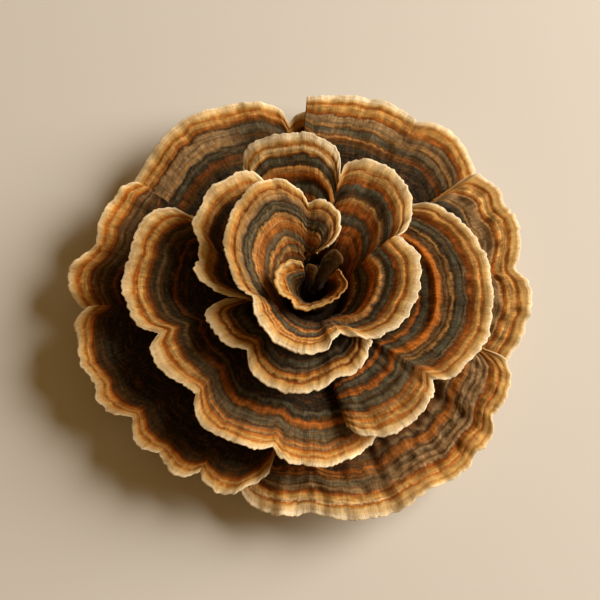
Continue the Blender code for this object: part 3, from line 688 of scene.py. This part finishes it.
def closed_sheet(top, thickness, values):
    """Points, faces and point values of a whole sheet: top, rounded lip and coarser underside."""
    columns, rows = top.shape[:2]
    carrier = unit(smoothed(surface_normals(top), 4.0))
    below = top - carrier * thickness[..., None]
    kept = np.unique(np.concatenate([np.arange(0, rows - 1, UNDER_ROWS), [rows - 1]]))
    loop = round_the_edge(columns, rows)
    rings = lip_rings(top, below, carrier, loop)

    count = len(loop)
    top_id = np.arange(columns * rows).reshape(columns, rows)
    under_id = top_id.size + np.arange(columns * len(kept)).reshape(columns, len(kept))
    ring_id = top_id.size + under_id.size + np.arange(LIP_RINGS * count).reshape(LIP_RINGS, count)
    faces = quads(top_id) + [face[::-1] for face in quads(under_id)]
    strips = [top_id[loop[:, 0], loop[:, 1]], *ring_id]
    for near, far in zip(strips, strips[1:]):
        faces += band(near, far)

    # The last strip meets the coarser underside, with points only on the kept rows.
    place_of = {int(row): k for k, row in enumerate(kept)}
    ring = ring_id[-1].tolist()
    anchors = [k for k in range(count) if int(loop[k, 1]) in place_of]
    for here, after in zip(anchors, anchors[1:] + [anchors[0] + count]):
        run = [ring[k % count] for k in range(here, after + 1)]
        ends = [under_id[loop[k % count, 0], place_of[int(loop[k % count, 1])]] for k in (after, here)]
        faces.append(run + [int(end) for end in ends])

    points = np.concatenate([top.reshape(-1, 3), below[:, kept].reshape(-1, 3), *rings])
    spread = {}
    for key, data in values.items():
        lip = [data[loop[:, 0], loop[:, 1]]] * LIP_RINGS
        spread[key] = np.concatenate([data.ravel(), data[:, kept].ravel(), *lip])
    lip_share = np.repeat(np.arange(1, LIP_RINGS + 1) / (LIP_RINGS + 1), count)
    spread["under"] = np.concatenate([np.zeros(top_id.size), np.ones(under_id.size), lip_share])
    return points, faces, spread


def add_thing(name, data):
    thing = bpy.data.objects.new(name, data)
    bpy.context.scene.collection.objects.link(thing)
    return thing


def make_piece(name, points, faces, values, material):
    mesh = bpy.data.meshes.new(name)
    mesh.from_pydata((points * MM).tolist(), [], faces)
    for key, data in values.items():
        mesh.attributes.new(key, "FLOAT", "POINT").data.foreach_set("value", data.astype(np.float32))
    bm = bmesh.new()
    bm.from_mesh(mesh)
    bmesh.ops.recalc_face_normals(bm, faces=bm.faces)
    bm.to_mesh(mesh)
    bm.free()
    mesh.shade_smooth()
    mesh.materials.append(material)
    return add_thing(name, mesh)


# ---------------- materials
def linear(colour):
    values = [c / 255 for c in colour]
    return tuple(c / 12.92 if c <= 0.04045 else ((c + 0.055) / 1.055) ** 2.4 for c in values) + (1.0,)


class Shader:
    """Short calls for building a material's nodes."""

    def __init__(self, name):
        self.material = bpy.data.materials.new(name)
        self.material.use_nodes = True
        self.tree = self.material.node_tree
        self.surface = self.tree.nodes["Principled BSDF"]

    def put(self, socket, value):
        if isinstance(value, bpy.types.NodeSocket):
            self.tree.links.new(value, socket)
        else:
            socket.default_value = value

    def fill(self, node, **inputs):
        """Sets a node's inputs by name, with _ for each space."""
        for key, value in inputs.items():
            self.put(node.inputs[key.replace("_", " ")], value)

    def node(self, kind, *inputs, **settings):
        """A new node with its first inputs filled in."""
        made = self.tree.nodes.new(kind)
        for key, value in settings.items():
            setattr(made, key, value)
        for socket, value in zip(made.inputs, inputs):
            self.put(socket, value)
        return made

    def math(self, operation, a, b=0.0):
        return self.node("ShaderNodeMath", a, b, operation=operation).outputs[0]

    def times(self, *factors):
        return reduce(lambda a, b: self.math("MULTIPLY", a, b), factors)

    def plus(self, *terms):
        return reduce(lambda a, b: self.math("ADD", a, b), terms)

    def scaled(self, value, low, high, to_low=0.0, to_high=1.0, smooth=True):
        kind = "SMOOTHSTEP" if smooth else "LINEAR"
        made = self.node("ShaderNodeMapRange", value, low, high, to_low, to_high, interpolation_type=kind)
        return made.outputs[0]

    def swing(self, noise, reach, height, centre=1.0):
        """Noise within reach of its middle, drawn out evenly to a height either side of the centre."""
        low, high = centre - height, centre + height
        return self.scaled(noise, 0.5 - reach, 0.5 + reach, low, high, smooth=False)

    def value(self, name):
        return self.node("ShaderNodeAttribute", attribute_name=name).outputs["Fac"]

    def vector(self, x, y, z=0.0):
        return self.node("ShaderNodeCombineXYZ", x, y, z).outputs[0]

    def place(self):
        return self.node("ShaderNodeTexCoord").outputs["Object"]

    def noise(self, vector, scale=1.0, detail=2.0, roughness=0.5):
        made = self.node("ShaderNodeTexNoise")
        self.fill(made, Vector=vector, Scale=scale, Detail=detail, Roughness=roughness)
        return made.outputs["Fac"]

    def mix(self, share, a, b, blend="MIX"):
        made = self.node("ShaderNodeMix", data_type="RGBA", blend_type=blend)
        for key, value in ((0, share), (6, a), (7, b)):
            self.put(made.inputs[key], value)
        return made.outputs[2]

    def tinted(self, colour, share, tint):
        return self.mix(share, colour, linear(TINTS[tint]))

    def grey(self, value):
        return self.node("ShaderNodeCombineColor", value, value, value).outputs[0]

    def bump(self, height, depth):
        made = self.node("ShaderNodeBump")
        self.fill(made, Height=height, Distance=depth, Strength=1.0)
        return made.outputs[0]


def zone_stops(zones):
    """Places and colours in from the margin: thin zones peak at their middle, wide ones are even."""
    stops = []
    reach = 0.0
    for colour, width in zones:
        if width < THIN_ZONE:
            stops.append((reach + width / 2, colour))
        else:
            stops += [(reach + ZONE_BLUR, colour), (reach + width - ZONE_BLUR, colour)]
        reach += width
    return stops


def zone_colour(shader, place, zones):
    """The zones as colour ramps over the place, each going on where the last one ends."""
    stops = zone_stops(zones)
    colour = None
    for first in range(0, len(stops) - 1, RAMP_STOPS - 1):
        part = stops[first : first + RAMP_STOPS]
        ramp = shader.node("ShaderNodeValToRGB", shader.math("DIVIDE", place, ZONE_SPAN))
        elements = ramp.color_ramp.elements
        while len(elements) < len(part):
            elements.new(1.0)
        for element, (position, name) in zip(elements, part):
            element.position = min(position / ZONE_SPAN, 1.0)
            element.color = linear(PALETTE[name][:3])
        if colour is None:
            colour = ramp.outputs[0]
        else:
            colour = shader.mix(shader.math("GREATER_THAN", place, part[0][0]), colour, ramp.outputs[0])
    return colour


def cap_material(name, zone_lists, number, tier, painted_lightness):
    shader = Shader(name)
    times, plus, scaled, swing = shader.times, shader.plus, shader.scaled, shader.swing
    mix, tinted = shader.mix, shader.tinted
    zone, along, under, turn, rise = map(shader.value, ("zone", "along", "under", "turn", "rise"))
    place = shader.place()

    def grain(across, inward, layer, detail=2.0, roughness=0.55):
        """Noise with so many swings for each mm along the margin and in from it."""
        z = layer * LAYER_SHIFT + number * CAP_SHIFT
        at = shader.vector(times(along, across), times(zone, inward), z)
        return shader.noise(at, 1.0, detail, roughness)

    fibres = grain(2.6, 0.42, 1, 4.0, 0.62)
    hairs = grain(6.0, 1.0, 2, 2.0, 0.6)
    rings = grain(0.13, 2.1, 6, 2.0, 0.6)
    clumps = grain(1.3, 1.0, 8, 3.0, 0.6)
    mottle = shader.noise(place, MOTTLE_SCALE, 3.0, 0.55)
    nap = shader.noise(place, NAP_SCALE, 2.0, 0.6)

    # The zones: their edges wander, and one list turns into the next.
    swings = (
        (grain(0.42, 0.12, 4, 1.0), 1.3), (grain(1.5, 0.30, 5), 0.5), (fibres, 0.22), (clumps, 0.8),
        (hairs, 0.28), (grain(0.24, 0.5, 10, 1.0), 1.4),
    )
    wander = plus(*(times(shader.math("SUBTRACT", noise, 0.5), size) for noise, size in swings))
    zone_place = plus(zone, times(wander, scaled(zone, 0.3, 3.0)))
    colour = zone_colour(shader, zone_place, zone_lists[0])
    for step, zones in enumerate(zone_lists[1:]):
        share = scaled(turn, float(step), step + 1.0, smooth=False)
        colour = mix(share, colour, zone_colour(shader, zone_place, zones))

    # The margin is mottled with yellow and buff, and its very edge is a pale fringe.
    deep = scaled(zone, 1.6, 3.6)
    shallow = times(shader.math("SUBTRACT", 1.0, deep), scaled(zone, 0.3, 1.5, 0.4, 1.0))
    buff = times(scaled(grain(0.55, 0.35, 7), 0.48, 0.68), shallow, 0.55)
    gold = times(scaled(grain(0.8, 0.5, 9), 0.5, 0.7), shallow, 0.4)
    colour = tinted(tinted(colour, buff, "buff"), gold, "gold")
    if tier != "heart":
        fringe = times(scaled(zone, 0.32, 0.05), scaled(hairs, 0.35, 0.6, 0.2, 0.8))
        # Less pale fringe on the lip: painted shade where the rims face the light.
        colour = tinted(colour, times(fringe, scaled(under, 0.05, 0.4, 1.0, 0.2)), "fringe")
        # Hairs lie outwards across the zones: pale ones show most on the dark zones.
        down = scaled(grain(3.4, 0.8, 13, 3.0, 0.65), 0.50, 0.72)
        frost = shader.math("MAXIMUM", scaled(hairs, 0.50, 0.78), down)
        colour = tinted(colour, times(frost, 0.20, scaled(zone, 3.5, 7.0)), "frost")
    tinge = times(scaled(grain(0.2, 1.2, 12, 2.0), 0.50, 0.70), deep, 0.45)
    colour = tinted(colour, tinge, "tinge")

    # How light each place is beside its zone's colour, from broad streaks down to the nap, with the cap's
    # painted light and shade from its tone.
    ringed = times(swing(rings, 0.2, 0.28, 0.0), deep)
    clumped = times(swing(clumps, 0.2, 0.28, 0.0), scaled(zone, 2.0, 6.0, 0.3, 1.0))
    streaked = times(swing(grain(1.1, 0.28, 3), 0.2, 1.0, 0.0), scaled(zone, 1.5, 4.5, 0.10, 0.26))
    tone = times(
        swing(fibres, 0.25, 0.10),
        scaled(zone, 2.5, 6.0, painted_lightness, min(painted_lightness, 1.0)),
        swing(grain(0.16, 3.0, 11), 0.2, 0.12),
        *(plus(part, 1.0) for part in (ringed, clumped, streaked)),
        swing(mottle, 0.25, 0.10),
        swing(nap, 0.3, 0.12),
    )
    colour = mix(1.0, colour, shader.grey(tone), "MULTIPLY")

    # The underside: cream pores, with a barren band along the margin, painted shade on the lip along the
    # margin, and painted shade under the crown and the heart.
    cells = shader.node("ShaderNodeTexVoronoi")
    shader.fill(cells, Vector=place, Scale=PORE_SCALE)
    pore = scaled(cells.outputs["Distance"], 0.22, 0.42)
    pore = shader.math("MAXIMUM", pore, scaled(zone, 2.2, 1.4))
    flesh = tinted(linear(TINTS["flesh"]), scaled(mottle, 0.3, 0.7), "dull_flesh")
    # Painted shade on the lip along the margin, where the rims face the light.
    flesh = tinted(flesh, scaled(zone, 1.2, 0.2, 0.0, 0.8), "painted_rim_shade")
    # Painted shade under the crown and the heart; under the other caps a real browning towards the foot.
    tint, *ramp = UNDERSIDE_SHADE.get(tier, OUTER_FLESH)
    flesh = tinted(flesh, scaled(zone, *ramp), tint)
    flesh = mix(pore, tinted(flesh, 0.55, "pores"), flesh)
    below = scaled(under, 0.55, 0.9)
    colour = mix(below, colour, flesh)
    # Painted shade where the sheet runs into the foot, darkest at the root.
    colour = tinted(colour, scaled(rise, 2.6, 0.6, 0.0, 0.85), "root")

    height = plus(times(fibres, 0.8), times(hairs, 0.5), times(nap, 0.35), times(rings, 0.6))
    height = mix(below, height, times(pore, 0.8))
    sheen, specular = GLOSS.get(tier, CAP_GLOSS)
    shader.fill(
        shader.surface,
        Normal=shader.bump(height, NAP_DEPTH),
        Base_Color=colour,
        Roughness=scaled(hairs, 0.2, 0.8, 0.78, 0.95, smooth=False),
        Sheen_Weight=sheen,
        Sheen_Roughness=0.45,
        Sheen_Tint=SHEEN_TINT,
        Specular_IOR_Level=specular,
    )
    return shader.material


def foot_material():
    """Pale cork below, with painted shade on its top, where the upper caps leave the foot."""
    shader = Shader("foot_cork_and_painted_shade")
    place = shader.place()
    cork = shader.noise(place, 420.0, 5.0, 0.62)
    grain = shader.noise(place, 3000.0, 3.0, 0.6)
    colour = shader.tinted(linear(TINTS["cork"]), shader.scaled(cork, 0.35, 0.65), "pale_cork")
    colour = shader.tinted(colour, shader.scaled(grain, 0.3, 0.7, 0.0, 0.35), "cork_pits")
    # Painted shade on the foot's top, under the caps.
    height_above = shader.node("ShaderNodeSeparateXYZ", place).outputs[2]
    colour = shader.tinted(colour, shader.scaled(height_above, 0.010, 0.013), "painted_foot_shade")
    shader.fill(
        shader.surface,
        Normal=shader.bump(shader.plus(cork, shader.times(grain, 0.4)), CORK_DEPTH),
        Base_Color=colour,
        Roughness=shader.scaled(grain, 0.2, 0.8, 0.82, 0.98, smooth=False),
        Specular_IOR_Level=0.2,
    )
    return shader.material


# ---------------- the fungus
FOOT_COLUMNS = 200
CUT_RINGS = (0.97, 0.8, 0.6, 0.4, 0.2)  # of the cut face, as shares of its radius
FOOT_SEEDS = (901, 902)
CAP_SEEDS = 100  # seeds set aside for each cap


def build_foot():
    """The woody foot on its leaning axis: lumpy, rough as cork, flat where it was cut."""
    profile = np.array(FOOT_PROFILE + [(FOOT_TOP, 0.4)])
    heights = np.concatenate([np.linspace(0, 16, 41), np.linspace(16.2, FOOT_TOP, 14)])
    angle = 2 * math.pi * np.arange(FOOT_COLUMNS) / FOOT_COLUMNS
    radius = smoothed(np.interp(heights, profile[:, 0], profile[:, 1])[:, None], 1.2)[:, 0]
    lump = FOOT_LUMPS * (np.sin(3 * angle + 0.4 * heights[:, None]) + np.sin(5 * angle + 1.3)) / 2
    rough = 0.22 * noise_2d(angle * 16 / math.pi * 2, heights[:, None] / 1.7, FOOT_SEEDS[0])
    rough += 0.10 * noise_2d(angle * 64 / math.pi, heights[:, None] / 0.7, FOOT_SEEDS[1])
    reach = radius[:, None] + (lump + rough) * np.minimum(1.0, radius / 8)[:, None]
    points = leaning_axis(heights)[:, None] + outward_from_axis(angle) * reach[..., None]

    ids = np.arange(len(heights) * FOOT_COLUMNS).reshape(-1, FOOT_COLUMNS)
    faces = [face for low, high in zip(ids, ids[1:]) for face in band(low, high)]
    cut = [points[0] * [share, share, 0.0] for share in CUT_RINGS]
    near = ids[0]
    for number in range(len(cut)):
        far = ids.size + number * FOOT_COLUMNS + np.arange(FOOT_COLUMNS)
        faces += np.stack([near, far, np.roll(far, -1), np.roll(near, -1)], axis=-1).tolist()
        near = far
    middle = ids.size + len(cut) * FOOT_COLUMNS
    faces += [[a, middle, b] for a, b in zip(near.tolist(), np.roll(near, -1).tolist())]
    faces += [[a, b, middle + 1] for a, b in zip(ids[-1].tolist(), np.roll(ids[-1], -1).tolist())]
    tip = leaning_axis(np.array([FOOT_TOP + 0.05]))
    everything = np.concatenate([points.reshape(-1, 3), *cut, [[0.0, 0.0, 0.0]], tip])
    return make_piece("foot_surface", everything, faces, {}, foot_material())


def build_cap(number, name, cap):
    zone_lists = [zone_list(text) for text in cap["zones"].split("/")]
    tier = name.split("_")[0]
    sheet = cap_sheet(cap, tier, zone_lists, CAP_SEEDS * (number + 1))
    # The cap's tone is painted light and shade.
    material = cap_material(name + "_zones", zone_lists, number, tier, cap.get("tone", 1.0))
    return make_piece(name + "_surface", *closed_sheet(*sheet), material), tier + "_cap"


foot = build_foot()
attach(foot, "root")
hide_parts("foot")
for number, (name, cap) in enumerate(CAPS.items()):
    piece, slot = build_cap(number, name, cap)
    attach(piece, "root")
    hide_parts(name)


# ---------------- floor, light and camera, in metres
FLOOR_HALF = 4.0
KEY_BEARING = 15.0
KEY_ELEVATION = 28.0
KEY_DISTANCE = 1.1
KEY_SIZE = 0.85
KEY_POWER = 22.5
KEY_COLOUR = (1.0, 0.98, 0.95)
KEY_AIM = (0, 0, 0.01)
FILL_COLOUR = (1.0, 0.62, 0.22, 1.0)
FILL_STRENGTH = 0.185
CAMERA_AIM = Vector((-0.0015, -0.0009, 0.010))
CAMERA_ELEVATION = 70.0
CAMERA_DISTANCE = 0.354
CAMERA_LENS = 85.0


def aim(thing, target):
    thing.rotation_euler = (Vector(target) - thing.location).to_track_quat("-Z", "Y").to_euler()


def add_floor():
    mesh = bpy.data.meshes.new("floor")
    corners = [(x * FLOOR_HALF, y * FLOOR_HALF, 0) for x, y in ((-1, -1), (1, -1), (1, 1), (-1, 1))]
    mesh.from_pydata(corners, [], [(0, 1, 2, 3)])
    shader = Shader("floor_paper")
    shader.fill(shader.surface, Base_Color=linear(TINTS["floor"]), Roughness=0.9, Specular_IOR_Level=0.1)
    mesh.materials.append(shader.material)
    floor = add_thing("floor", mesh)


def add_key_light():
    data = bpy.data.lights.new("key", "AREA")
    data.shape = "DISK"
    data.size = KEY_SIZE
    data.energy = KEY_POWER
    data.color = KEY_COLOUR
    light = add_thing("key", data)
    turn = math.radians(KEY_BEARING)
    lift = math.radians(KEY_ELEVATION)
    way = Vector((math.cos(lift) * math.cos(turn), math.cos(lift) * math.sin(turn), math.sin(lift)))
    light.location = way * KEY_DISTANCE
    aim(light, KEY_AIM)


def fill_with_light():
    world = bpy.context.scene.world or bpy.data.worlds.new("world")
    bpy.context.scene.world = world
    world.use_nodes = True
    background = world.node_tree.nodes["Background"]
    background.inputs["Color"].default_value = FILL_COLOUR
    background.inputs["Strength"].default_value = FILL_STRENGTH


def add_camera():
    data = bpy.data.cameras.new("camera")
    data.lens = CAMERA_LENS
    camera = add_thing("camera", data)
    tilt = math.radians(CAMERA_ELEVATION)
    camera.location = CAMERA_AIM + Vector((0.0, -math.cos(tilt), math.sin(tilt))) * CAMERA_DISTANCE
    aim(camera, CAMERA_AIM)
    bpy.context.scene.camera = camera


add_floor()
add_key_light()
fill_with_light()
add_camera()
bpy.context.scene.view_settings.view_transform = "Standard"
